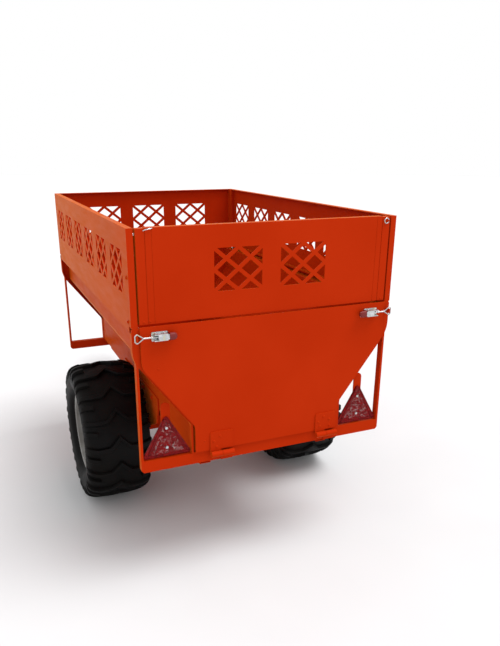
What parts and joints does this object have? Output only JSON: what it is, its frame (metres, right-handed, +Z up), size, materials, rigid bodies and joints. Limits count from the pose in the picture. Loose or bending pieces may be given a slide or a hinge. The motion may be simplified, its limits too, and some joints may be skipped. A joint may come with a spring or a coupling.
{
  "type": "utility trailer",
  "caption": "Single-axle utility trailer: hopper tub, boards with cut-out grilles, drop tailgate, drawbar with clevis coupling and parking jack.",
  "frame": {"origin": "on the ground under the middle of the whole trailer", "axes": "+X forwards to the coupling, +Y to the left side, +Z up"},
  "size_m": [2.545, 1.1662, 1.226],
  "materials": {
    "body_paint": "orange powder coat, satin",
    "black_paint": "black enamel, satin",
    "rim": "silver enamel",
    "zinc": "zinc plate",
    "tyre": "moulded rubber",
    "reflector": "moulded red prisms"
  },
  "bodies": {
    "chassis": {"tub_floor": "body_paint", "tub_side_left": "body_paint", "tub_side_right": "body_paint", "tub_front_wall": "body_paint", "end_frame_rear": "body_paint", "end_frame_front": "body_paint", "hoop_rear": "body_paint", "hoop_front": "body_paint", "side_board_left": "body_paint", "side_board_right": "body_paint", "front_board": "body_paint", "corner_post_rear_left": "body_paint", "corner_post_rear_right": "body_paint", "corner_post_front_left": "body_paint", "corner_post_front_right": "body_paint", "board_pins": "zinc", "hinge_leaf_left": "body_paint", "hinge_leaf_right": "body_paint", "latch_keepers": "body_paint", "reflector_brackets": "body_paint", "reflector_left": "reflector", "reflector_right": "reflector", "drawbar": "body_paint", "underframe": "body_paint", "axle_beam": "body_paint", "spindle_left": "black_paint", "spindle_right": "black_paint", "coupling_clevis": "body_paint", "jack_housing": "zinc", "jack_crank": "zinc"},
    "rear_board": {"rear_board": "body_paint"},
    "tailgate": {"tailgate_panel": "body_paint", "tailgate_strap_left": "body_paint", "tailgate_strap_right": "body_paint", "latch_left": "zinc", "latch_right": "zinc", "latch_bail_left": "zinc", "latch_bail_right": "zinc"},
    "wheel_left": {"tyre_left": "tyre", "wheel_rim_left": "rim", "wheel_hub_left": "black_paint"},
    "wheel_right": {"tyre_right": "tyre", "wheel_rim_right": "rim", "wheel_hub_right": "black_paint"},
    "jack_leg": {"jack_leg": "zinc"}
  },
  "joints": [
    {"name": "wheel_left", "type": "hinge", "parent": "chassis", "child": "wheel_left", "pos_m": [-0.5515, 0.447, 0.292], "axis": [0, 1, 0], "continuous": true},
    {"name": "wheel_right", "type": "hinge", "parent": "chassis", "child": "wheel_right", "pos_m": [-0.5515, -0.447, 0.292], "axis": [0, 1, 0], "continuous": true},
    {"name": "tailgate", "type": "hinge", "parent": "chassis", "child": "tailgate", "pos_m": [-1.2625, 0, 0.452], "axis": [0, -1, 0], "range_deg": [0, 150]},
    {"name": "rear_board", "type": "hinge", "parent": "chassis", "child": "rear_board", "pos_m": [-1.2295, 0, 1.206], "axis": [0, 1, 0], "range_deg": [0, 90]},
    {"name": "jack_leg", "type": "slide", "parent": "chassis", "child": "jack_leg", "axis": [0, 0, 1], "range_m": [0, 0.175]}
  ]
}
